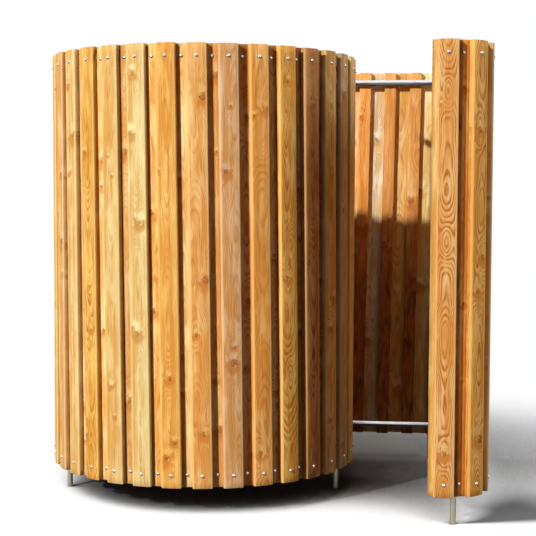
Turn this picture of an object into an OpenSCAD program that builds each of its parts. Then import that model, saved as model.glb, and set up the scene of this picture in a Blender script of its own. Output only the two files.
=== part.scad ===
// Outdoor changing cubicle: a snail-shaped wall of upright larch boards round two bent steel rings.
// Narrow under-boards are bolted to the rings, and wide over-boards cover the gaps between them.
// Millimetres, Z up, the front is -Y, and the ground is Z = 0. There is no roof, floor or door.

/* [Wall line] */
// Radius of the round room, to the middle of the ring tubes
room_r = 680; // [560:10:820]
// Turn of the round room's wall, in degrees
room_turn = 282; // [270:1:290]
// Direction that the start of the round wall faces, in degrees from the front towards the right
room_start = 93; // [85:1:100]
// Length of the straight back wall
back_len = 1207; // [1000:1:1500]
// Radius of the two tight bends, to the middle of the ring tubes
bend_r = 130; // [110:1:180]
// Turn of the bend between the back wall and the side wall
corner_turn = 91; // [80:1:100]
// Length of the straight side wall
side_len = 1141; // [900:1:1400]
// Turn of the bend at the wall's outer end
nose_turn = 90; // [60:1:110]
// Straight ring tube past that bend
tail_len = 62; // [50:1:90]

/* [Boards] */
// Length of every board
board_len = 2000; // [1600:10:2400]
// Width of an over-board
over_w = 92; // [88:1:110]
// Thickness of an over-board
over_t = 28; // [18:1:34]
// Width of an under-board
under_w = 64; // [58:1:78]
// Thickness of an under-board
under_t = 28; // [18:1:34]
// Distance from one over-board to the next, along the under-boards' outer faces
pitch = 137.5; // [114:0.5:142]
// Distance from the wall's start to the middle of the first over-board
first_at = 100.5; // [90:0.5:110]
// Over-boards set out at the exact pitch from the wall's start
front_count = 16; // [10:1:18]
// Over-boards set out at the exact pitch back from the wall's outer end
end_count = 22; // [18:1:22]
// How far the last under-board shows past the last over-board
end_reveal = 24; // [10:1:30]
// How far the boards' lower bolts lag behind their upper bolts, along the wall
lean = 29; // [0:1:35]
// Length of wall, back from its outer end, over which that lean fades to nothing
lean_fade = 1700; // [500:50:3000]

/* [Rings and legs] */
// Outer diameter of the ring tubes
ring_d = 33.7; // [26.9:0.1:42.4]
// Wall of the ring tubes
ring_wall = 2.6; // [2:0.1:4]
// Distance from the boards' ends to the middle of each ring
ring_inset = 58; // [45:1:120]
// Outer diameter of the legs
leg_d = 26.9; // [21.3:0.1:33]
// Wall of the legs
leg_wall = 2.6; // [2:0.1:4]
// Chamfer round the closed foot of a leg
foot_chamfer = 2; // [0.5:0.5:4]
// Clear height below the boards
ground_gap = 132; // [60:1:250]
// Directions of the round room's three legs, in degrees from the front towards the right
right_leg = 73.5; // [60:0.5:80]
left_leg = -81; // [-95:0.5:-60]
rear_leg = -186; // [-188:0.5:-150]
// Distance of the back wall's leg from the rear bend
back_leg_inset = 52; // [20:1:400]
// Direction of the leg in the outer bend
nose_leg = 9.5; // [-5:0.5:60]
// Thickness of the plugs that close the ring tubes' ends
plug_t = 3; // [2:0.5:6]
// Length of a plug inside its tube
plug_depth = 14; // [8:1:25]

/* [Clearances] */
// Gap left between a board and what it is bolted against
seat = 0.3; // [0.1:0.1:0.8]
// Gap between a plug and the bore of its tube
plug_play = 0.3; // [0.1:0.1:0.6]

/* [Hidden] */
$fn = 64;
ROOM_SLICES = 4;
BOARD_GROUPS = 9;
LARCH_OVER = "#d9964a";
LARCH_UNDER = "#c47f38";
RING_STEEL = "#c9ccce";
LEG_STEEL = "#b4b6ae";

ring_r = ring_d / 2;
leg_r = leg_d / 2;
bottom_ring_z = ground_gap + ring_inset;
top_ring_z = ground_gap + board_len - ring_inset;
board_mid_z = ground_gap + board_len / 2;
// Distances out from the middle of the ring tubes to the two faces of the under-boards
under_back = ring_r + seat;
under_face = under_back + under_t;

// --- the wall line: stretches of [turn, radius], or [0, length] where it is straight ---

STRETCHES = concat(
    [for (i = [1:ROOM_SLICES]) [room_turn / ROOM_SLICES, room_r]],
    [[0, back_len], [corner_turn, bend_r], [0, side_len], [nose_turn, bend_r], [0, tail_len]]
);
BACK = ROOM_SLICES;
NOSE = BACK + 3;

// A direction is the angle that the wall's outside faces, from the front towards the right
function outward(a) = [sin(a), -cos(a)];
function onward(a) = [-cos(a), -sin(a)];
function stretch_len(s, out) = s[0] == 0 ? s[1] : s[0] * PI / 180 * (s[1] + out);
function arc_middle(p, a, r) = p - r * outward(a);

// Start point and direction of each stretch, and last the end of the wall
function walk(i, p, a) =
    i == len(STRETCHES) ? [[p, a]] :
    let (s = STRETCHES[i],
         a2 = a - s[0],
         p2 = s[0] == 0 ? p + s[1] * onward(a) : arc_middle(p, a, s[1]) + s[1] * outward(a2))
    concat([[p, a]], walk(i + 1, p2, a2));
STARTS = walk(0, room_r * outward(room_start), room_start);

// Length of the first n stretches, measured on a line that lies `out` outside the rings' middle
function run_len(n, out) = n == 0 ? 0 : stretch_len(STRETCHES[n - 1], out) + run_len(n - 1, out);

// Point and direction at a distance d along that line
function locate(d, out, i = 0) =
    let (s = STRETCHES[i], l = stretch_len(s, out))
    d > l && i < len(STRETCHES) - 1 ? locate(d - l, out, i + 1) :
    let (p = STARTS[i][0], a = STARTS[i][1])
    s[0] == 0 ? [p + d * onward(a) + out * outward(a), a] :
    let (a2 = a - d / (s[1] + out) * 180 / PI)
    [arc_middle(p, a, s[1]) + (s[1] + out) * outward(a2), a2];

// --- the boards' places, as distances along the under-boards' outer faces ---

last_at = run_len(NOSE + 1, under_face);
front_at = [for (i = [0:front_count - 1]) first_at + i * pitch];
end_at = [for (i = [end_count - 1:-1:0]) last_at - i * pitch];
// The boards between those two runs share out what is left, close to the pitch
rear_len = end_at[0] - front_at[front_count - 1];
rear_steps = max(1, round(rear_len / pitch));
rear_at = [for (i = [1:1:rear_steps - 1]) front_at[front_count - 1] + i * rear_len / rear_steps];
over_at = concat(front_at, rear_at, end_at);
under_at = concat(
    [first_at - pitch / 2],
    [for (i = [1:len(over_at) - 1]) (over_at[i - 1] + over_at[i]) / 2],
    [last_at + over_w / 2 + end_reveal - under_w / 2]
);

// Lean of the board at a distance d, in degrees
function lean_angle(d) =
    atan(lean / (top_ring_z - bottom_ring_z)) * min(1, max(0, (last_at - d) / lean_fade));
function board_x(a) = [cos(a), sin(a)];

// How far an under-board reaches out past the plane through an over-board's own place
function reach(over_d, under_d) =
    let (o = locate(over_d, under_face), u = locate(under_d, under_face))
    max([for (side = [-1, 1], end = [-1, 1])
        (u[0] + (side * under_w + end * board_len * tan(lean_angle(under_d))) / 2 * board_x(u[1]) - o[0])
        * outward(o[1])]);
function over_standoff(i) = seat + max(reach(over_at[i], under_at[i]), reach(over_at[i], under_at[i + 1]));

// --- the row's origin: on the ground, in the middle of the whole outline ---

function plan_corners(d, w, out) =
    let (at = locate(d, under_face), half = (w + board_len * tan(lean_angle(d))) / 2)
    [for (side = [-1, 1]) at[0] + side * half * board_x(at[1]) + out * outward(at[1])];
OUTLINE = concat(
    [for (i = [0:len(over_at) - 1]) each plan_corners(over_at[i], over_w, over_standoff(i) + over_t)],
    [for (d = under_at) each plan_corners(d, under_w, 0)]
);
function middle(axis) = let (v = [for (p = OUTLINE) p[axis]]) (min(v) + max(v)) / 2;
origin = [middle(0), middle(1), 0];

// --- sub-parts ---

// A board whose back stands `out` outside the under-boards' outer faces
module board(d, width, thick, out) {
    at = locate(d, under_face);
    translate([at[0].x, at[0].y, board_mid_z] - origin)
        rotate([0, 0, at[1]])
        rotate([0, -lean_angle(d), 0])
        translate([-width / 2, -out - thick, -board_len / 2])
        cube([width, thick, board_len]);
}

function in_group(i, count, g) = floor(i * BOARD_GROUPS / count) == g - 1;

module over_boards(g) {
    color(LARCH_OVER)
    for (i = [0:len(over_at) - 1])
        if (in_group(i, len(over_at), g)) board(over_at[i], over_w, over_t, over_standoff(i));
}

module under_boards(g) {
    color(LARCH_UNDER)
    for (i = [0:len(under_at) - 1])
        if (in_group(i, len(under_at), g)) board(under_at[i], under_w, under_t, -under_t);
}

module tube_section(radius, bore) {
    difference() {
        circle(r = radius);
        if (bore > 0) circle(r = bore);
    }
}

// Stretch i of a ring at height z, as a tube, or as a rod where the bore is 0
module ring_run(i, z, bore) {
    s = STRETCHES[i];
    p = STARTS[i][0];
    a = STARTS[i][1];
    if (s[0] == 0) {
        translate([p.x, p.y, z] - origin)
            rotate([0, 0, a])
            rotate([0, -90, 0])
            linear_extrude(height = s[1])
            tube_section(ring_r, bore);
    } else {
        c = arc_middle(p, a, s[1]);
        translate([c.x, c.y, z] - origin)
            rotate([0, 0, a - s[0] - 90])
            rotate_extrude(angle = s[0], $fn = 180)
            translate([s[1], 0])
            tube_section(ring_r, bore);
    }
}

RING_NAMES = concat(
    [for (i = [1:ROOM_SLICES]) str("ring_room_", i)],
    ["ring_back", "ring_corner", "ring_side", "ring_nose", "ring_tail"]
);

module ring_part(i, z) {
    color(RING_STEEL) ring_run(i, z, ring_r - ring_wall);
}

// A plug seen from its tube's end: a rounded head on the end and a spigot inside
module plug() {
    rotate_extrude()
    polygon([
        [0, -plug_depth], [ring_r - ring_wall - plug_play, -plug_depth],
        [ring_r - ring_wall - plug_play, 0], [ring_r, 0],
        [ring_r, plug_t / 2], [ring_r - plug_t / 2, plug_t], [0, plug_t]
    ]);
}

module ring_plugs(z) {
    color(RING_STEEL)
    for (end = [0, 1]) {
        at = STARTS[end * len(STRETCHES)];
        translate([at[0].x, at[0].y, z] - origin)
            rotate([0, 0, at[1]])
            rotate([0, end == 0 ? 90 : -90, 0])
            plug();
    }
}

// A leg: a round tube with a closed foot, its top cut to the lower ring that it is welded under
module leg(stretch, at) {
    bore = leg_r - leg_wall;
    color(LEG_STEEL)
    difference() {
        translate([at.x, at.y, 0] - origin)
            rotate_extrude()
            polygon([
                [0, 0], [leg_r - foot_chamfer, 0], [leg_r, foot_chamfer], [leg_r, bottom_ring_z],
                [bore, bottom_ring_z], [bore, foot_chamfer + leg_wall], [0, foot_chamfer + leg_wall]
            ]);
        ring_run(stretch, bottom_ring_z, 0);
    }
}

function room_slice(a) = floor((room_start - a) / room_turn * ROOM_SLICES);
function room_point(a) = room_r * outward(a);
nose_middle = arc_middle(STARTS[NOSE][0], STARTS[NOSE][1], bend_r);

module leg_right() { leg(room_slice(right_leg), room_point(right_leg)); }
module leg_left() { leg(room_slice(left_leg), room_point(left_leg)); }
module leg_rear() { leg(room_slice(rear_leg), room_point(rear_leg)); }
module leg_back() { leg(BACK, locate(run_len(BACK + 1, 0) - back_leg_inset, 0)[0]); }
module leg_nose() { leg(NOSE, nose_middle + bend_r * outward(nose_leg)); }

// --- nodes ---

for (g = [1:BOARD_GROUPS]) {
    over_boards(g);
    under_boards(g);
}
for (i = [0:len(RING_NAMES) - 1]) {
    ring_part(i, top_ring_z);
    ring_part(i, bottom_ring_z);
}
ring_plugs(top_ring_z);  // top_ring_plugs
ring_plugs(bottom_ring_z);  // bottom_ring_plugs
leg_right();
leg_left();
leg_rear();
leg_back();
leg_nose();
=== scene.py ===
"""Outdoor changing cubicle: larch boards in two layers on stainless rings, on short legs."""
import bpy
import math
import random
from mathutils import Matrix, Vector


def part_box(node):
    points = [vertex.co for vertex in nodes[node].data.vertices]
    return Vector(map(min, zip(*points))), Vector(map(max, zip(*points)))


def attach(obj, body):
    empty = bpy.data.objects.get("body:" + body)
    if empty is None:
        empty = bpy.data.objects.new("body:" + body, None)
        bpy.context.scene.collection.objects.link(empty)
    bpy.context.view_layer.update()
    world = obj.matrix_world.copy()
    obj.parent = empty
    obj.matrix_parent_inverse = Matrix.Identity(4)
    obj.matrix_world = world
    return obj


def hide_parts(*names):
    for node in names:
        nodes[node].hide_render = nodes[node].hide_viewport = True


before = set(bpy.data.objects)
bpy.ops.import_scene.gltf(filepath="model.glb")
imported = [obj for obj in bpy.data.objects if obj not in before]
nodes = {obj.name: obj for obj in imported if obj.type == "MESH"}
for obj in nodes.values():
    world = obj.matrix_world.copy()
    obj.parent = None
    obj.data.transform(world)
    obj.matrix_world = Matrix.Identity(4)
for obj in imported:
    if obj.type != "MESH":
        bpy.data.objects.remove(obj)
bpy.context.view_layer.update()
bpy.context.scene.view_settings.view_transform = "Standard"

# Lengths are in metres and angles in degrees. A turn is measured from the front (-Y) towards the right (+X).
# The round room's centre, and how far from it the boards of its wall reach.
ROOM_CENTRE = Vector((-0.369, 0.111, 0.0))
ROOM_REACH = 0.80
# The year rings' spacing that the larch material draws in its own measure.
YEAR = 0.0034


def rad(a):
    return math.radians(a)


# ---------------------------------------------------------------- camera
CAMERA_PLACE = Vector((-0.369, -6.218, 1.4535))
CAMERA_TURN, CAMERA_DIP, CAMERA_ROLL = 2.9, 3.3, -0.227
CAMERA_LENS = 83.9
SENSOR_WIDTH = 36.0


def aim_camera(place, turn, dip, roll, lens):
    """A camera at place that looks turn to the right of +Y and dip below the horizon."""
    ahead = Vector((math.sin(rad(turn)), math.cos(rad(turn)), 0))
    side = Vector((math.cos(rad(turn)), -math.sin(rad(turn)), 0))
    up = Vector((0, 0, 1))
    look = ahead * math.cos(rad(dip)) - up * math.sin(rad(dip))
    over = up * math.cos(rad(dip)) + ahead * math.sin(rad(dip))
    x = side * math.cos(rad(roll)) - over * math.sin(rad(roll))
    y = over * math.cos(rad(roll)) + side * math.sin(rad(roll))
    data = bpy.data.cameras.new("camera")
    data.lens, data.sensor_width = lens, SENSOR_WIDTH
    cam = bpy.data.objects.new("camera", data)
    bpy.context.scene.collection.objects.link(cam)
    m = Matrix((x, y, -look)).transposed().to_4x4()
    m.translation = place
    cam.matrix_world = m
    bpy.context.scene.camera = cam


aim_camera(CAMERA_PLACE, CAMERA_TURN, CAMERA_DIP, CAMERA_ROLL, CAMERA_LENS)


# ---------------------------------------------------------------- node helper
class Net:
    """Builds a node tree with short calls; a socket or a plain value goes in as it is."""

    def __init__(self, tree, output):
        tree.nodes.clear()
        self.tree = tree
        self.out = self.node(output)

    def node(self, kind, ins=None, **props):
        n = self.tree.nodes.new("ShaderNode" + kind)
        for k, v in props.items():
            setattr(n, k, v)
        for k, v in (ins or {}).items():
            if isinstance(v, bpy.types.NodeSocket):
                self.tree.links.new(v, n.inputs[k])
            else:
                n.inputs[k].default_value = v
        return n

    def math(self, op, a, b=0.0):
        return self.node("Math", {0: a, 1: b}, operation=op).outputs[0]

    def add(self, a, b):
        return self.math("ADD", a, b)

    def sub(self, a, b):
        return self.math("SUBTRACT", a, b)

    def mul(self, a, b):
        return self.math("MULTIPLY", a, b)

    def div(self, a, b):
        return self.math("DIVIDE", a, b)

    def xyz(self, x, y, z):
        return self.node("CombineXYZ", {0: x, 1: y, 2: z}).outputs[0]

    def split(self, v):
        return self.node("SeparateXYZ", {0: v}).outputs

    def noise(self, v, scale=1.0, detail=2.0, rough=0.5):
        n = self.node("TexNoise", {"Vector": v, "Scale": scale, "Detail": detail, "Roughness": rough})
        return n.outputs["Fac"]

    def step(self, x, lo, hi, a=0.0, b=1.0):
        """Smooth step of x from a at lo to b at hi."""
        n = self.node("MapRange", {"Value": x, "From Min": lo, "From Max": hi, "To Min": a, "To Max": b},
                      interpolation_type="SMOOTHSTEP")
        return n.outputs[0]

    def mix(self, f, a, b, blend="MIX"):
        n = self.tree.nodes.new("ShaderNodeMix")
        n.data_type, n.blend_type = "RGBA", blend
        for k, v in ((0, f), (6, a), (7, b)):
            if isinstance(v, bpy.types.NodeSocket):
                self.tree.links.new(v, n.inputs[k])
            else:
                n.inputs[k].default_value = v
        return n.outputs[2]

    def attr(self, name, out="Vector"):
        return self.node("Attribute", attribute_name=name).outputs[out]

    def tint(self, colour, r, g, b):
        """The colour times (r, g, b)."""
        return self.mix(1.0, colour, (r, g, b, 1.0), "MULTIPLY")

    def length(self, x, y):
        return self.math("SQRT", self.add(self.mul(x, x), self.mul(y, y)))

    def seen(self):
        """1 for rays that show the surface, straight or in a mirror, and 0 for rays that carry light."""
        path = self.node("LightPath").outputs
        bounced = self.math("MAXIMUM", path["Is Glossy Ray"], path["Is Transmission Ray"])
        return self.math("MAXIMUM", path["Is Camera Ray"], bounced)

    def finish(self, shader):
        self.tree.links.new(shader.outputs[0], self.out.inputs[0])


def srgb(r, g, b):
    """A colour given as 0 to 255 on the screen, as linear values."""
    def lin(v):
        v /= 255.0
        return v / 12.92 if v <= 0.04045 else ((v + 0.055) / 1.055) ** 2.4
    return (lin(r), lin(g), lin(b), 1.0)


def material(name):
    m = bpy.data.materials.new(name)
    m.use_nodes = True
    return m, Net(m.node_tree, "OutputMaterial")


def principled(net, **ins):
    net.finish(net.node("BsdfPrincipled", {k.replace("_", " "): v for k, v in ins.items()}))


# ---------------------------------------------------------------- larch
def larch():
    """Boards cut from a log: year rings round a pith line that runs beside the board, knots and fibres.

    Mesh attributes: "grain" is the point from the pith line (across, deep, along), "plank" is the
    point in the board (across, along, out), "tone" is the board's own colour, "mood" holds ring
    contrast, sapwood side and seed, "knot_1" to "knot_4" hold (across, along, size)."""
    m, n = material("larch")
    gx, gy, gz = n.split(n.attr("grain"))
    s, u, w = n.split(n.attr("plank"))
    contrast, sap, seed = n.split(n.attr("mood"))
    tone = n.attr("tone", "Color")

    # knots: each lifts the ring count round it, so that the year lines flow round it
    lift = core = rim = halo = glow = shade = 0.0
    wob = n.noise(n.xyz(n.mul(s, 60.0), n.mul(u, 30.0), seed), 1.0, 2.0)
    for k in ("knot_1", "knot_2", "knot_3", "knot_4"):
        ks, ku, kr = n.split(n.attr(k))
        ds, du = n.sub(s, ks), n.sub(u, ku)
        near = n.math("SQRT", n.add(n.mul(ds, ds), n.mul(n.mul(du, du), 0.62)))
        size = n.math("MAXIMUM", n.math("ABSOLUTE", kr), 0.0005)
        q = n.add(n.div(near, n.mul(size, 0.6)), n.mul(n.sub(wob, 0.5), 1.5))
        long = n.math("SQRT", n.add(n.mul(n.mul(ds, ds), 1.1), n.mul(n.mul(du, du), 0.085)))
        bell = n.math("EXPONENT", n.mul(n.math("POWER", n.div(long, n.mul(size, 1.7)), 2.0), -1.0))
        round_it = n.math("EXPONENT", n.mul(n.math("POWER", n.div(near, n.mul(size, 2.5)), 2.0), -1.0))
        on = n.step(kr, 0.001, 0.003)
        lift = n.add(lift, n.mul(bell, n.mul(size, 1.2)))
        core = n.math("MAXIMUM", core, n.mul(n.step(q, 0.45, 1.0, 1.0, 0.0), on))
        ring = n.mul(n.step(q, 0.7, 0.95), n.step(q, 1.0, 1.45, 1.0, 0.0))
        rim = n.math("MAXIMUM", rim, n.mul(ring, n.mul(on, n.step(kr, 0.006, 0.011, 0.45, 1.0))))
        around = n.mul(round_it, n.math("MAXIMUM", on, 0.3))
        halo = n.math("MAXIMUM", halo, around)
        # the fibres dip at a knot; the wood is pale above it and dark below it
        # those sides are partly the wood's figure and partly painted highlight and painted shade
        slant = n.add(n.mul(ds, n.sub(n.mul(wob, 6.0), 3.0)), n.mul(n.math("ABSOLUTE", ds), -0.6))
        slope = n.div(n.add(du, slant), size)
        glow = n.math("MAXIMUM", glow, n.mul(around, n.step(slope, -0.2, 1.4)))
        shade = n.math("MAXIMUM", shade, n.mul(around, n.step(slope, -1.6, 0.0, 1.0, 0.0)))

    # year rings
    radius = n.length(gx, gy)
    slow = n.noise(n.xyz(n.mul(gx, 2.6), n.mul(gy, 2.6), n.mul(gz, 1.9)), 1.0, 2.0, 0.4)
    quick = n.noise(n.xyz(n.mul(gx, 60.0), n.mul(gy, 60.0), n.mul(gz, 9.0)), 1.0, 2.0)
    bent = n.add(n.add(radius, lift), n.add(n.mul(n.sub(slow, 0.5), 0.060), n.mul(n.sub(quick, 0.5), 0.0018)))
    years = n.div(bent, YEAR)
    # the rings' own widths vary from year to year
    years = n.add(years, n.mul(n.noise(n.xyz(n.mul(bent, 90.0), seed, 0.0), 1.0, 1.0), 1.1))
    part = n.math("FRACT", years)
    late = n.mul(n.step(part, 0.30, 0.86), n.step(part, 0.90, 1.0, 1.0, 0.0))
    which = n.math("FLOOR", years)
    chance = n.node("TexWhiteNoise", {"W": n.add(which, n.mul(seed, 31.0))}, noise_dimensions="1D")
    strength = n.step(chance.outputs["Value"], 0.0, 1.0, 0.6, 1.0)

    # fibres, long and fine, and broad soft streaks along the board
    fibre = n.noise(n.xyz(n.mul(gx, 900.0), n.mul(gy, 900.0), n.mul(gz, 7.0)), 1.0, 3.0, 0.6)
    streak = n.noise(n.xyz(n.mul(gx, 70.0), n.mul(gy, 70.0), n.mul(gz, 1.1)), 1.0, 3.0, 0.55)
    cloud = n.noise(n.xyz(n.mul(s, 12.0), n.mul(u, 2.2), seed), 1.0, 3.0, 0.55)
    flake = n.noise(n.xyz(n.mul(s, 25.0), n.mul(u, 9.0), n.add(seed, 3.0)), 1.0, 3.0, 0.6)
    thread = n.noise(n.xyz(n.mul(gx, 330.0), n.mul(gy, 330.0), n.mul(gz, 2.4)), 1.0, 2.0, 0.6)
    patch = n.noise(n.xyz(n.mul(s, 30.0), n.mul(u, 5.5), n.add(seed, 7.0)), 1.0, 3.0, 0.5)

    cream = n.tint(tone, 1.08, 1.27, 1.65)
    deep = n.tint(tone, 0.84, 0.64, 0.40)
    col = n.mix(n.step(cloud, 0.36, 0.64), n.tint(tone, 0.94, 0.82, 0.64), cream)
    col = n.mix(n.mul(n.step(streak, 0.40, 0.62), 0.85), col, deep)
    # sapwood: a pale yellow band on one edge of the board, on boards that have it
    wander = n.mul(n.sub(n.noise(n.xyz(n.mul(s, 9.0), n.mul(u, 1.3), seed)), 0.5), 0.8)
    band = n.add(n.mul(s, 20.0), n.add(n.sub(sap, 1.0), wander))
    col = n.mix(n.step(band, -0.15, 0.25, 0.0, 0.75), col, n.tint(tone, 1.05, 1.15, 1.35))
    # the dark late wood of each year, then fibres and threads
    amount = n.mul(n.mul(late, strength), contrast)
    amount = n.mul(amount, n.step(flake, 0.30, 0.60, 0.4, 1.15))
    col = n.mix(amount, col, n.tint(tone, 0.50, 0.25, 0.09))
    col = n.mix(n.mul(n.step(fibre, 0.42, 0.70), 0.5), col, deep)
    col = n.mix(n.mul(n.step(thread, 0.58, 0.70), 0.8), col, n.tint(tone, 0.66, 0.42, 0.22))
    col = n.mix(n.mul(n.step(thread, 0.30, 0.42, 1.0, 0.0), 0.5), col, n.tint(tone, 1.05, 1.12, 1.30))
    # odd patches where the plane met rising grain
    col = n.mix(n.step(patch, 0.50, 0.68, 0.0, 0.55), col, cream)
    col = n.mix(n.step(patch, 0.32, 0.48, 0.6, 0.0), col, deep)

    # knots, and the pale and dark wood that swirls round them, partly painted highlight and shade
    ragged = n.sub(n.mul(flake, 1.2), 0.6)
    col = n.mix(n.step(n.add(shade, ragged), 0.22, 0.70, 0.0, 0.85), col, n.tint(tone, 0.70, 0.44, 0.22))
    some_sap = n.math("MINIMUM", sap, 1.0)
    fair = n.add(0.5, n.mul(some_sap, 0.4))
    col = n.mix(n.mul(n.step(n.add(glow, ragged), 0.25, 0.70), fair), col, cream)
    grit = n.noise(n.xyz(n.mul(s, 300.0), n.mul(u, 300.0), seed))
    knot = n.mix(n.step(grit, 0.3, 0.7), n.tint(tone, 0.74, 0.38, 0.15), n.tint(tone, 0.33, 0.14, 0.06))
    # knots in sapwood stay pale
    col = n.mix(n.mul(core, n.sub(0.95, n.mul(some_sap, 0.35))), col, knot)
    rim = n.mul(rim, n.sub(1.0, n.mul(some_sap, 0.7)))
    # the dark rim is broken
    gaps = n.noise(n.xyz(n.mul(s, 90.0), n.mul(u, 90.0), seed), 1.0, 1.0)
    col = n.mix(n.mul(rim, n.step(gaps, 0.38, 0.58, 0.25, 0.95)), col, n.tint(tone, 0.20, 0.09, 0.04))
    # painted highlight along the front edges
    edge = n.mul(n.step(n.math("ABSOLUTE", s), 0.034, 0.042), n.step(w, 0.0, 0.006))
    col = n.mix(n.mul(edge, 0.65), col, cream)
    # small resin specks
    spot = n.node("TexVoronoi", {"Vector": n.xyz(n.mul(s, 16.0), n.mul(u, 7.0), seed), "Scale": 1.0})
    some = n.math("GREATER_THAN", n.split(spot.outputs["Color"])[0], 0.55)
    dot = n.mul(n.step(spot.outputs["Distance"], 0.03, 0.06, 1.0, 0.0), some)
    col = n.mix(n.mul(dot, 0.7), col, n.tint(tone, 0.30, 0.16, 0.09))

    # painted shade: the wood is darker, in uneven patches, where the unshaded share is low
    unshaded = n.attr("unshaded", "Fac")
    shade_patches = n.noise(n.xyz(n.mul(s, 45.0), n.mul(u, 9.0), n.add(seed, 11.0)), 1.0, 3.0, 0.6)
    shade_tone = n.mix(n.step(shade_patches, 0.42, 0.68), (0.44, 0.29, 0.16, 1.0), (0.17, 0.13, 0.09, 1.0))
    col = n.mix(unshaded, n.mix(1.0, col, shade_tone, "MULTIPLY"), col)
    # end grain is darker and duller
    ends = n.attr("ends", "Fac")
    col = n.mix(n.mul(ends, 0.55), col, n.tint(tone, 0.60, 0.46, 0.34))

    # knots stand a little proud, with a hollow beside them, and the whole face is a little uneven
    swell = n.add(n.mul(halo, 0.0034), n.mul(core, -0.0016))
    swell = n.add(swell, n.add(n.mul(flake, 0.0030), n.mul(patch, 0.0016)))
    fine = n.add(n.mul(late, 0.00022), n.mul(fibre, 0.0003))
    bump = n.node("Bump", {"Height": n.add(swell, fine), "Strength": 0.8, "Distance": 1.0})
    rough = n.step(fibre, 0.3, 0.8, 0.58, 0.74)
    principled(n, Base_Color=col, Roughness=rough, Normal=bump.outputs[0], Specular_IOR_Level=0.15)
    return m


# ---------------------------------------------------------------- metal
def stainless(name, colour, rough, haze, under):
    """Drawn steel: a smear has haze times the colour, and the underside has under times the colour as painted
    shade.
    """
    m, n = material(name)
    shape = n.node("NewGeometry").outputs
    pos = shape["Position"]
    x, y, z = n.split(pos)
    smear = n.noise(pos, 22.0, 3.0, 0.6)
    scratch = n.noise(n.xyz(n.mul(x, 260.0), n.mul(y, 260.0), n.mul(z, 2600.0)), 1.0, 2.0)
    hazed = [v * haze for v in colour[:3]] + [1.0]
    col = n.mix(n.step(smear, 0.35, 0.7), colour, hazed)
    # painted shade: the underside is darker than the upper side, as light falls from above
    facing_up = n.add(n.split(shape["Normal"])[2], n.mul(n.sub(smear, 0.5), 0.4))
    underside_shade = [v * under for v in colour[:3]] + [1.0]
    col = n.mix(n.step(facing_up, -0.20, 0.42, 0.95, 0.0), col, underside_shade)
    r = n.add(n.step(smear, 0.3, 0.75, rough, rough + 0.10), n.mul(scratch, 0.05))
    bump = n.node("Bump", {"Height": scratch, "Strength": 0.05, "Distance": 0.0003})
    principled(n, Base_Color=col, Metallic=1.0, Roughness=r, Normal=bump.outputs[0])
    return m


LARCH = larch()
BRIGHT = stainless("ring_tube", (0.91, 0.92, 0.95, 1.0), 0.16, 0.90, 0.14)
DULL = stainless("leg_tube", (0.50, 0.48, 0.36, 1.0), 0.30, 0.66, 0.6)
HEAD = stainless("bolt_head", (0.74, 0.74, 0.77, 1.0), 0.28, 0.85, 0.25)


# ---------------------------------------------------------------- boards from the CAD solids
class Board:
    """One board: its node, layer, middle, axes (s across, n out, u up), sizes and turn, and then its look."""


def islands(mesh):
    """The separate solids of a mesh, as lists of corner points."""
    at, key = {}, []
    for v in mesh.vertices:
        k = tuple(round(c, 5) for c in v.co)
        key.append(at.setdefault(k, len(at)))
    pts = [None] * len(at)
    for k, i in at.items():
        pts[i] = Vector(k)
    up = list(range(len(pts)))

    def find(i):
        while up[i] != i:
            up[i] = up[up[i]]
            i = up[i]
        return i
    for p in mesh.polygons:
        vs = [find(key[i]) for i in p.vertices]
        for j in vs[1:]:
            up[find(j)] = find(vs[0])
    groups = {}
    for i in range(len(pts)):
        groups.setdefault(find(i), []).append(pts[i])
    return list(groups.values())


def ring_line():
    """Points of the top ring's tube, with which a board's inner side is told from its outer side."""
    pts = []
    for name, o in nodes.items():
        if name.startswith("top_ring") and "plug" not in name:
            pts += [v.co.copy() for v in o.data.vertices]
    return pts


RING = ring_line()
# How many of the ring's points, the nearest in plan, give the ring's place beside a board.
RING_POINTS = 24


def read_board(corners, node, over):
    """The board with these eight corners; from any corner, the nearest two others lie along its
    thickness and its width, and the edge square to both is its length."""
    b = Board()
    b.node, b.over = node, over
    b.mid = mid = sum(corners, Vector()) / len(corners)
    first = corners[0]
    far = sorted(corners, key=lambda p: (p - first).length)
    thick, wide = far[1] - first, far[2] - first

    def square(e):
        d = e.normalized()
        return abs(d.dot(thick.normalized())) < 0.01 and abs(d.dot(wide.normalized())) < 0.01
    long = next(p - first for p in far[3:] if square(p - first))
    b.length, b.width, b.thick = long.length, wide.length, thick.length
    b.u = long.normalized()
    if b.u.z < 0:
        b.u = -b.u
    b.n = thick.normalized()
    near = sorted(RING, key=lambda p: (p.x - mid.x) ** 2 + (p.y - mid.y) ** 2)[:RING_POINTS]
    inner = sum(near, Vector()) / len(near)
    if b.n.dot(Vector((mid.x - inner.x, mid.y - inner.y, 0))) < 0:
        b.n = -b.n
    b.s = b.u.cross(b.n)
    b.turn = math.degrees(math.atan2(b.n.x, -b.n.y))
    return b


boards = []
for name in sorted(nodes):
    if name.startswith(("over_boards", "under_boards")):
        for corners in islands(nodes[name].data):
            boards.append(read_board(corners, name, name.startswith("over")))


def look(colour, contrast=0.5, sap=0.2, pith=(0.03, 0.0), tilt=0.015, knots=(), year=0.0048):
    """A board's look: its colour, how strong the year lines are, sapwood (0 none, 1 half the board),
    the pith's depth behind the face and its place across, how much that depth changes for each metre
    up, knots as (across, up from the middle, radius), and the width of a year. Where a knot's radius
    is negative, the knot lies below the face and only bends the year lines."""
    return dict(colour=srgb(*colour), contrast=contrast, sap=sap, pith=pith, tilt=tilt,
                knots=knots, year=year)
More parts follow.
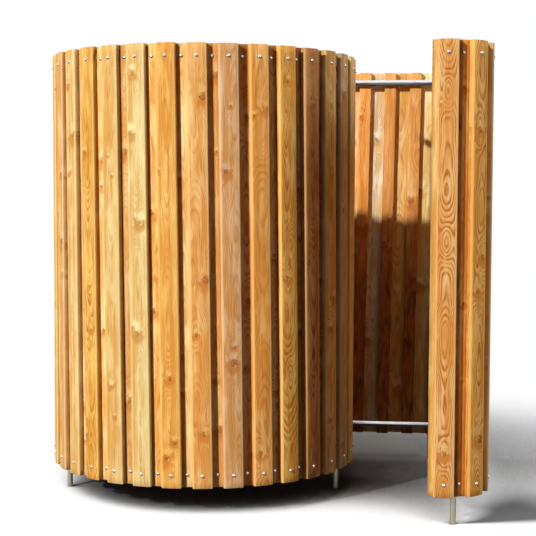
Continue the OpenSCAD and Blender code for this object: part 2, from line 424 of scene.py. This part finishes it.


# Looks of the boards that are seen most: the round room's over-boards by their turn, and the outer
# end's left one (A) and right one (B). Most of the colours come from comparing a board's mean colour
# in the render with the photo's.
# These colours hold both a board's own tone and painted light and shade: lighter where the lamps light it too
# little, darker where they light it too much.
OVER_LOOKS = {
    85: look((224, 180, 121), 0.6),
    74: look((227, 191, 121), 0.7, pith=(0.04, 0.02)),
    63: look((205, 174, 122), 0.7, knots=((-0.01, 0.80, 0.016), (-0.02, 0.26, 0.006))),
    52: look((228, 187, 117), 0.9, tilt=-0.01,
             knots=((0.004, 0.75, 0.006), (0.02, -0.16, 0.008), (-0.01, -0.3, 0.007))),
    42: look((211, 154, 91), 1.2, pith=(0.05, 0.0), tilt=-0.05,
             knots=((0.006, 0.74, 0.005), (0.02, 0.80, -0.010))),
    31: look((253, 193, 96), 1.25, 0.1, pith=(0.055, -0.012), tilt=-0.07, year=0.006,
             knots=((0.0, 0.84, 0.006), (-0.010, -0.05, 0.007), (0.004, 0.10, -0.014), (0.0, -0.5, -0.012))),
    20: look((249, 182, 97), 0.65, 0.5, pith=(0.07, 0.01), tilt=0.02, year=0.007,
             knots=((0.034, 0.71, 0.009), (-0.031, 0.68, 0.005), (0.012, 0.60, -0.018),
                    (-0.014, -0.85, 0.010))),
    9: look((231, 180, 123), 0.5, 0.0, pith=(0.06, 0.03), year=0.006,
            knots=((-0.018, 0.43, 0.008), (0.004, 0.72, 0.004), (0.008, -0.43, 0.012),
                   (0.012, -0.36, 0.006))),
    -2: look((246, 185, 106), 0.6, 0.0, pith=(0.07, -0.02), tilt=0.03, year=0.006,
             knots=((0.026, 0.76, 0.011), (0.030, -0.05, 0.014), (-0.02, -0.30, 0.006),
                    (0.01, -0.75, 0.008))),
    -13: look((243, 182, 90), 0.45, 0.1,
              knots=((-0.036, 0.43, 0.005), (0.0, -0.50, 0.008), (0.018, -0.79, 0.007),
                     (-0.022, -0.86, 0.011))),
    -23: look((237, 204, 131), 0.35, 0.9,
              knots=((-0.030, 0.60, 0.010), (-0.012, 0.87, 0.009), (0.012, 0.20, 0.009),
                     (-0.01, -0.30, 0.010))),
    -34: look((232, 191, 116), 0.35, 0.6,
              knots=((-0.006, 0.50, 0.003), (0.014, 0.41, 0.003), (-0.01, -0.55, 0.006))),
    -45: look((236, 183, 91), 1.1, 0.1, pith=(0.05, 0.0), tilt=-0.06, year=0.006,
              knots=((-0.018, 0.52, 0.007), (0.01, -0.3, 0.006))),
    -56: look((236, 194, 120), 0.4, 0.4,
              knots=((-0.01, 0.86, 0.006), (0.034, 0.60, 0.013), (-0.01, 0.43, 0.006))),
    -67: look((235, 187, 120), 0.45, 0.0, knots=((0.03, 0.10, 0.010), (0.03, 0.42, 0.008))),
    -78: look((237, 191, 104), 0.45, 0.3),
    "A": look((233, 173, 99), 1.2, 0.5, pith=(0.035, -0.002), tilt=0.01, year=0.006,
              knots=((0.0, -0.80, 0.009), (0.0, 0.775, -0.014), (0.0, 0.12, -0.016), (-0.03, 0.72, 0.004))),
    "B": look((246, 183, 91), 1.4, 0.0, pith=(0.04, 0.01), tilt=0.03, year=0.006,
              knots=((-0.002, 0.61, 0.010), (0.022, 0.06, 0.009), (-0.006, -0.09, 0.009),
                     (0.018, -0.745, 0.012))),
}
# Under-boards: those on the round room's shaded side, whose darker colour is painted shade, and the
# outer end's left (U0) and right (U1) ones.
UNDER_LOOKS = {
    "shade": look((176, 128, 74), 0.9, 0.0, pith=(0.05, 0.01)),
    "U0": look((248, 206, 122), 0.4, 0.5),
    "U1": look((242, 166, 78), 0.5, knots=((-0.02, 0.63, 0.005),)),
}
# Colours of the far wall's boards that show in the passage, by their x, found in the same way, so that they
# too hold painted light and shade besides their own tone.
FAR_TONES = {0.44: (247, 212, 150), 0.50: (248, 173, 87), 0.58: (247, 232, 193), 0.64: (234, 170, 95),
             0.71: (239, 194, 118), 0.77: (241, 185, 112), 0.85: (254, 230, 163)}


# Colours that the other boards are drawn from.
OVER_TONES = ((248, 204, 142), (244, 192, 120), (248, 212, 152),
              (240, 190, 124), (246, 202, 128), (244, 198, 134))
ROOM_UNDER_TONES = ((248, 208, 134), (246, 192, 110), (250, 204, 130),
                    (244, 190, 112), (250, 212, 146), (246, 196, 114))
WALL_UNDER_TONES = ((244, 192, 116), (242, 180, 104), (250, 204, 134),
                    (238, 190, 124), (250, 210, 148), (242, 186, 108))
# The look of a board is kept for boards within this many degrees of its turn.
TURN_MATCH = 3
# The boards of the outer end stand in front of this y.
END_OVER_Y, END_UNDER_Y = -0.70, -0.75
# Material inputs: at most this many knots a board, and how much wider a knot's mark is than its core.
KNOTS = 4
KNOT_SPREAD = 1.6


def known_look(b, rng):
    """The look that is written above for this board, or None."""
    if b.over and b.drum:
        key = min((k for k in OVER_LOOKS if k not in ("A", "B")), key=lambda k: abs(k - b.turn))
        return OVER_LOOKS[key] if abs(key - b.turn) < TURN_MATCH else None
    if b.over:
        if b.mid.y < END_UNDER_Y and abs(b.turn + 10) < 6:
            return OVER_LOOKS["A"]
        return OVER_LOOKS["B"] if b.mid.y < END_OVER_Y and abs(b.turn - 35) < 8 else None
    if b.drum and 8 < b.turn < 82:
        knots = [(rng.uniform(-0.02, 0.02), rng.uniform(-0.9, 0.9), rng.uniform(0.005, 0.011))
                 for _ in range(3)]
        return dict(UNDER_LOOKS["shade"], knots=knots)
    if not b.drum and b.mid.y < END_UNDER_Y and abs(b.turn) < 80:
        return UNDER_LOOKS["U1" if b.turn > 0 else "U0"]
    return None


def drawn_look(b, rng):
    """A look drawn at random."""
    hue = rng.random()
    tones = OVER_TONES if b.over else (ROOM_UNDER_TONES if b.drum else WALL_UNDER_TONES)
    c = tones[int(hue * len(tones))]
    k = 0.93 + 0.1 * rng.random()
    found = look(tuple(v * k for v in c), 0.25 + 0.5 * rng.random() ** 1.5, rng.choice((0.0, 0.1, 0.3, 0.8)),
                 (0.015 + 0.06 * rng.random(), rng.uniform(-0.03, 0.03)), rng.uniform(-0.02, 0.02),
                 [(rng.uniform(-0.5, 0.5) * b.width * 0.8, rng.uniform(-0.9, 0.9), rng.uniform(0.004, 0.013))
                  for _ in range(rng.choice((1, 2, 2, 3, 4)))])
    nearest = min(FAR_TONES, key=lambda x: abs(x - b.mid.x))
    if b.mid.y > 0.5 and not b.drum and abs(nearest - b.mid.x) < 0.03:
        found["colour"] = srgb(*FAR_TONES[nearest])
    return found


def dress(b, rng):
    """Gives the board its own colour, grain and knots."""
    b.drum = (b.mid - ROOM_CENTRE).xy.length < ROOM_REACH
    found = known_look(b, rng) or drawn_look(b, rng)
    b.colour, b.contrast, b.sap = found["colour"], found["contrast"], found["sap"]
    b.pith, b.tilt, b.year = found["pith"], found["tilt"], found["year"]
    b.knots = list(found["knots"])[:KNOTS]
    while len(b.knots) < KNOTS and rng.random() < 0.7:
        b.knots.append((rng.uniform(-0.45, 0.45) * b.width, rng.uniform(-0.9, 0.9),
                        rng.uniform(0.003, 0.007)))
    b.knots = [(x, u, r * KNOT_SPREAD if r > 0 else r) for x, u, r in b.knots]
    b.seed = rng.uniform(0, 40)
    # 0 where the left side of an under-board is wholly in painted shade
    b.lee = 0.0 if found is UNDER_LOOKS["U1"] else 1.0


def outline(width, thick, front, back, crown):
    """The board's cross-section, anticlockwise in (across, out). Its edges are rounded by front and
    back, the front right one by less, and the face falls by crown from the middle to the edges."""
    pts = []
    hw, ht = width / 2, thick / 2
    for a0 in (0, 90, 180, 270):
        r = back if a0 > 90 else (front if a0 else front * 0.55)
        cx = (hw - r) * (1 if a0 in (0, 270) else -1)
        cy = (ht - r) * (1 if a0 < 180 else -1)
        for k in range(4):
            a = rad(a0 + 30 * k)
            pts.append([cx + r * math.cos(a), cy + r * math.sin(a)])
        if a0 == 0 or a0 == 180:
            x0, x1 = (hw - r, -hw + front) if a0 == 0 else (-hw + r, hw - r)
            for k in range(1, 6):
                pts.append([x0 + (x1 - x0) * k / 6, ht if a0 == 0 else -ht])
    for p in pts:
        if p[1] > ht * 0.5:
            p[1] -= crown * (p[0] / hw) ** 2
    return pts


# The round room's under-boards get painted shadow where a light from this turn, close to the key lamp's,
# leaves them in the over-boards' shadow.
SHADOW_TURN = -46


def painted_shade_share(b, x, y):
    """How much of its colour a point of the cross-section keeps under painted shade: 1 in the open, and less
    where the other layer shades it from the key lamp or where it faces away from that lamp. This paints that
    lamp's shadows deeper."""
    hw, ht = b.width / 2, b.thick / 2
    if b.over:
        if y > ht - 0.0095:
            return 1.0 if y > ht - 0.006 else 0.85
        if y < -ht + 0.0005:
            return 0.95
        return 0.2 if x > 0 else 0.8
    if y < -ht + 0.006:
        return 1.0 if y < -ht + 0.002 else 0.85
    if b.drum and b.turn < 8:
        # painted shadow: the over-board on the left stands 0.875 hw proud, and its shadow from the key lamp,
        # taken from 0.8 hw left of the middle, ends here
        slant = max(0.0, min(55.0, b.turn - SHADOW_TURN))
        reach = hw * (0.875 * math.tan(rad(slant)) - 0.8)
        if x > reach and x > -hw * 0.8:
            return 1.0 if x < hw * 0.9 else 0.8
        return 0.3 if x > -hw * 0.8 else 0.2
    if x > -hw * 0.2:
        return 1.0 if x < hw * 0.9 else 0.8
    return b.lee * (0.95 if x > -hw * 0.5 else (0.8 if x > -hw * 0.8 else 0.45))


# How an over-board's and an under-board's edges are eased in front and behind, how wavy their sides are,
# and how much painted shade darkens the far wall's inner face towards the ground, over which height
# below DARK_FROM, which is measured up from a board's middle.
OVER_EDGE = dict(front=0.0088, back=0.0012, wave=0.0004, dark=0.45, dark_height=0.9)
UNDER_EDGE = dict(front=0.0012, back=0.0040, wave=0.0006, dark=0.95, dark_height=0.6)
DARK_FROM = 0.40
# The ends are eased by this, and a board has this many rows of faces along its length.
END_EASE = 0.0015
ROWS = 64


def add_plank(b, rng, verts, faces, data):
    """Adds the board's faces; data gets each point's place in the log, place in the board, whether
    it is on an end, and how much painted shade it has. Gives the first point's number and the one past the
    last."""
    kind = OVER_EDGE if b.over else UNDER_EDGE
    crown = rng.uniform(0.0016, 0.0032) if b.over else 0.0
    shape = outline(b.width, b.thick, kind["front"], kind["back"], crown)
    shade_shares = [painted_shade_share(b, x, y) for x, y in shape]
    count = len(shape)
    top = b.length / 2 - rng.uniform(0.0, 0.0016)
    low = b.length / 2 - rng.uniform(0.0, 0.0030)
    rows = [(-low, END_EASE), (-low + END_EASE, 0.0)]
    for k in range(1, ROWS):
        rows.append((-low + END_EASE + (low + top - 2 * END_EASE) * k / ROWS, 0.0))
    rows += [(top - END_EASE, 0.0), (top, END_EASE)]
    phase = [rng.uniform(0, 6.28) for _ in range(6)]
    base = len(verts)
    pith_depth, pith_across = b.pith
    start = rng.uniform(-3, 3)
    scale = YEAR / b.year

    def put(s, n, u, end, unshaded_share=1.0):
        # painted shade: the far wall's inner face is darker towards the ground
        if n < 0 < b.mid.y:
            unshaded_share *= 1.0 - kind["dark"] * max(0.0, min(1.0, (DARK_FROM - u) / kind["dark_height"]))
        verts.append(b.mid + b.s * s + b.n * n + b.u * u)
        depth = pith_depth + (b.thick / 2 - n) + b.tilt * u
        grain = ((s - pith_across) * scale, depth * scale, u + start)
        data.append((grain, (s, u, n), end, unshaded_share))

    def wave(u, rates, phases):
        """How far a side strays at height u."""
        return kind["wave"] * sum(size * math.sin(u * rate + at)
                                  for size, rate, at in zip((1.0, 0.6, 0.3), rates, phases))

    for u, inset in rows:
        left = wave(u, (7, 17, 43), (phase[0], phase[1], phase[4]))
        right = wave(u, (6, 19, 39), (phase[2], phase[3], phase[5]))
        for (x, y), unshaded in zip(shape, shade_shares):
            edge = right if x > 0 else left
            x2 = x - math.copysign(abs(edge) * min(1, abs(x) / (b.width / 2)) + inset, x)
            y2 = y - math.copysign(inset, y) if inset else y
            put(x2, y2, u, 1.0 if inset else 0.0, unshaded)
    total = len(rows)
    for k in range(total - 1):
        for j in range(count):
            a, c = base + k * count + j, base + k * count + (j + 1) % count
            faces.append((a, c, c + count, a + count))
    for row, flip in ((0, True), (total - 1, False)):
        first = base + row * count
        u = rows[row][0]
        hub = len(verts)
        put(0.0, 0.0, u, 1.0)
        for j in range(count):
            a, c = first + j, first + (j + 1) % count
            faces.append((c, a, hub) if flip else (a, c, hub))
    return base, len(verts)


def show(mesh):
    """An object of the mesh's own name, in the scene."""
    o = bpy.data.objects.new(mesh.name, mesh)
    bpy.context.scene.collection.objects.link(o)
    return o


def fill(mesh, name, kind, values):
    """Adds a point attribute to mesh."""
    a = mesh.attributes.new(name, kind, "POINT")
    flat = []
    for v in values:
        flat.extend(v if hasattr(v, "__len__") else (v,))
    field = {"FLOAT_VECTOR": "vector", "FLOAT_COLOR": "color", "FLOAT": "value"}[kind]
    a.data.foreach_set(field, flat)


# Edges sharper than this many degrees are not smoothed over.
SHARP = 50
SEED = 11


def make_boards():
    """Replaces each node of boards with planks."""
    rng = random.Random(SEED)
    boards.sort(key=lambda b: (b.node, round(b.turn, 1), round(b.mid.x, 2)))
    for b in boards:
        dress(b, rng)
    for node in sorted({b.node for b in boards}):
        verts, faces, data, extra = [], [], [], []
        for b in [b for b in boards if b.node == node]:
            a, z = add_plank(b, rng, verts, faces, data)
            knots = b.knots + [(0, 0, 0)] * (KNOTS - len(b.knots))
            extra += [(b.colour, (b.contrast, b.sap, b.seed), knots)] * (z - a)
        mesh = bpy.data.meshes.new(node + "_wood")
        mesh.from_pydata(verts, [], faces)
        mesh.polygons.foreach_set("use_smooth", [True] * len(mesh.polygons))
        fill(mesh, "grain", "FLOAT_VECTOR", [d[0] for d in data])
        fill(mesh, "plank", "FLOAT_VECTOR", [d[1] for d in data])
        fill(mesh, "ends", "FLOAT", [d[2] for d in data])
        fill(mesh, "unshaded", "FLOAT", [d[3] for d in data])
        fill(mesh, "tone", "FLOAT_COLOR", [e[0] for e in extra])
        fill(mesh, "mood", "FLOAT_VECTOR", [e[1] for e in extra])
        for k in range(KNOTS):
            fill(mesh, "knot_%d" % (k + 1), "FLOAT_VECTOR", [e[2][k] for e in extra])
        mesh.materials.append(LARCH)
        mesh.update()
        mesh.set_sharp_from_angle(angle=rad(SHARP))
        o = show(mesh)
        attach(o, "root")
        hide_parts(node)


make_boards()


# ---------------------------------------------------------------- bolts
# A domed head as (radius, height above the board's face), how deep it is set in, its top, and its corners.
HEAD_PROFILE = ((0.0080, 0.0), (0.0080, 0.0010), (0.0076, 0.0022),
                (0.0066, 0.0036), (0.0050, 0.0048), (0.0028, 0.0056))
HEAD_SUNK = 0.0004
HEAD_TOP = 0.0058
HEAD_CORNERS = 20


def make_bolts():
    """A domed bolt head on the face of every board, at the height of each ring."""
    levels = {}
    for ring in ("top", "bottom"):
        lo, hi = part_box(ring + "_ring_back")
        levels[ring] = (lo.z + hi.z) / 2
    around = HEAD_CORNERS
    for ring, z in levels.items():
        verts, faces = [], []
        for b in boards:
            along = (z - b.mid.z) / b.u.z
            foot = b.mid + b.u * along + b.n * (b.thick / 2 - HEAD_SUNK)
            base = len(verts)
            for rr, h in HEAD_PROFILE:
                for k in range(around):
                    a = 2 * math.pi * k / around
                    verts.append(foot + b.s * (rr * math.cos(a)) + b.u * (rr * math.sin(a)) + b.n * h)
            verts.append(foot + b.n * HEAD_TOP)
            for i in range(len(HEAD_PROFILE) - 1):
                for k in range(around):
                    p, q = base + i * around + k, base + i * around + (k + 1) % around
                    faces.append((p, q, q + around, p + around))
            last = base + (len(HEAD_PROFILE) - 1) * around
            for k in range(around):
                faces.append((last + k, last + (k + 1) % around, len(verts) - 1))
        mesh = bpy.data.meshes.new(ring + "_bolts")
        mesh.from_pydata(verts, [], faces)
        mesh.polygons.foreach_set("use_smooth", [True] * len(mesh.polygons))
        mesh.materials.append(HEAD)
        o = show(mesh)
        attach(o, "root")


make_bolts()


# ---------------------------------------------------------------- rings and legs keep their CAD shape
for name, o in nodes.items():
    if "ring" in name or name.startswith("leg_"):
        o.data.materials.clear()
        o.data.materials.append(BRIGHT if "ring" in name else DULL)


# ---------------------------------------------------------------- floor, world and lights
FLOOR_HALF = 30.0
# The floor fades to plain white between these distances from the middle.
FADE = (2.1, 3.7)
# The painted soft shade round the object's foot, and the painted shade that a broad light would throw,
# with that light's turn and height: how far each looks for the object, and with how many rays.
FOOT_REACH, THROWN_REACH = 3.0, 5.0
THROWN_TURN, THROWN_HEIGHT = -27, 4
SHADE_RAYS = 20
# How much light the floor sends back that doesn't count as seen.
FLOOR_BOUNCE = 0.14


def towards(turn, height):
    """The direction of a light that stands at turn and height."""
    a, e = rad(turn), rad(height)
    return Vector((math.sin(a) * math.cos(e), -math.cos(a) * math.cos(e), math.sin(e)))


def leg_shadow(n, right, behind):
    """1 in the wedge of painted shadow that opens to the right and back from the outer end's leg, which
    stands at (0, 0) here. Near the leg the wedge is narrower."""
    angle = n.math("ARCTAN2", behind, right)
    reach = n.length(right, behind)
    narrow = n.mul(n.math("MAXIMUM", n.sub(0.36, reach), 0.0), 1.75)
    wedge = n.mul(n.step(angle, rad(-3), rad(13)), n.step(n.add(angle, narrow), rad(42), rad(76), 1.0, 0.0))
    return n.mul(wedge, n.mul(n.step(reach, 0.0, 0.08), n.step(reach, 0.45, 1.0, 1.0, 0.0)))


def make_floor():
    m, n = material("floor")
    x, y, z = n.split(n.node("NewGeometry").outputs["Position"])
    foot = n.node("AmbientOcclusion", {"Distance": FOOT_REACH}, samples=SHADE_RAYS).outputs["AO"]
    light = n.xyz(*towards(THROWN_TURN, THROWN_HEIGHT))
    thrown = n.node("AmbientOcclusion", {"Distance": THROWN_REACH, "Normal": light},
                    samples=SHADE_RAYS).outputs["AO"]
    # both darken the floor's glow as painted shade
    level = n.mul(n.math("POWER", n.step(thrown, 0.60, 0.92), 2.3), n.step(foot, 0.15, 0.43, 0.0, 0.85))
    lo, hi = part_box("leg_nose")
    right, behind = n.sub(x, (lo.x + hi.x) / 2), n.sub(y, (lo.y + hi.y) / 2)
    open_floor = n.sub(1.0, n.mul(leg_shadow(n, right, behind), 0.83))
    # painted light: beside the side wall the floor glows more and its colour is darker, so it shows less of
    # the main lamp's own shadow
    beside = n.step(right, 0.10, 0.16)
    level = n.add(level, n.mul(n.mul(beside, 0.09), n.step(foot, 0.15, 0.43)))
    level = n.mul(level, open_floor)
    glow = n.node("Emission", {"Color": (1, 1, 1, 1), "Strength": level})
    # painted shade and the painted leg shadow also darken the floor's own colour
    grey = n.mul(n.step(foot, 0.18, 0.36, 0.03, 0.30), n.mul(open_floor, n.sub(1.0, n.mul(beside, 0.8))))
    cloth = n.node("BsdfDiffuse", {"Color": n.xyz(grey, grey, grey)})
    lit = n.node("AddShader", {0: glow.outputs[0], 1: cloth.outputs[0]})
    white = n.node("Emission", {"Color": (1, 1, 1, 1), "Strength": 1.0})
    faded = n.node("MixShader", {0: n.step(n.length(x, y), *FADE), 1: lit.outputs[0], 2: white.outputs[0]})
    plain = n.node("BsdfDiffuse", {"Color": (FLOOR_BOUNCE, FLOOR_BOUNCE, FLOOR_BOUNCE, 1)})
    n.finish(n.node("MixShader", {0: n.seen(), 1: plain.outputs[0], 2: faded.outputs[0]}))
    h = FLOOR_HALF
    mesh = bpy.data.meshes.new("floor")
    mesh.from_pydata([(-h, -h, 0), (h, -h, 0), (h, h, 0), (-h, h, 0)], [], [(0, 1, 2, 3)])
    mesh.materials.append(m)
    o = show(mesh)


def make_world():
    """Plain white behind the object, and a weak cool light from all sides."""
    world = bpy.data.worlds.new("studio")
    world.use_nodes = True
    n = Net(world.node_tree, "OutputWorld")
    plain = n.node("Background", {"Color": (1, 1, 1, 1), "Strength": 1.0})
    soft = n.node("Background", {"Color": (0.86, 0.94, 1.0, 1), "Strength": 0.085})
    n.finish(n.node("MixShader", {0: n.seen(), 1: soft.outputs[0], 2: plain.outputs[0]}))
    bpy.context.scene.world = world


# The lamps as (name, turn, height, distance, diameter, level). They face AIM, and level is what a
# white card there would show.
LAMPS = (
    ("key", -46.5, 25.5, 30.0, 0.8, 1.16),
    ("fill", 60, 20, 9.0, 3.0, 0.20),
    ("rim", 84, 32, 9.0, 2.5, 0.21),
    ("back", 172, 4, 9.0, 1.6, 0.40),
)
AIM = Vector((0, 0, 1.0))


def make_light(name, turn, height, far, size, level):
    """A round lamp that faces the object."""
    back = towards(turn, height)
    data = bpy.data.lights.new(name, "AREA")
    data.shape, data.size = "DISK", size
    # a card at that distance gets level when the lamp's power is pi squared times distance squared
    data.energy = level * math.pi ** 2 * far ** 2
    o = bpy.data.objects.new(name, data)
    bpy.context.scene.collection.objects.link(o)
    o.location = AIM + back * far
    o.rotation_mode = "QUATERNION"
    o.rotation_quaternion = (-back).to_track_quat("-Z", "Y")
    o.visible_camera = False


make_floor()
make_world()
for lamp in LAMPS:
    make_light(*lamp)
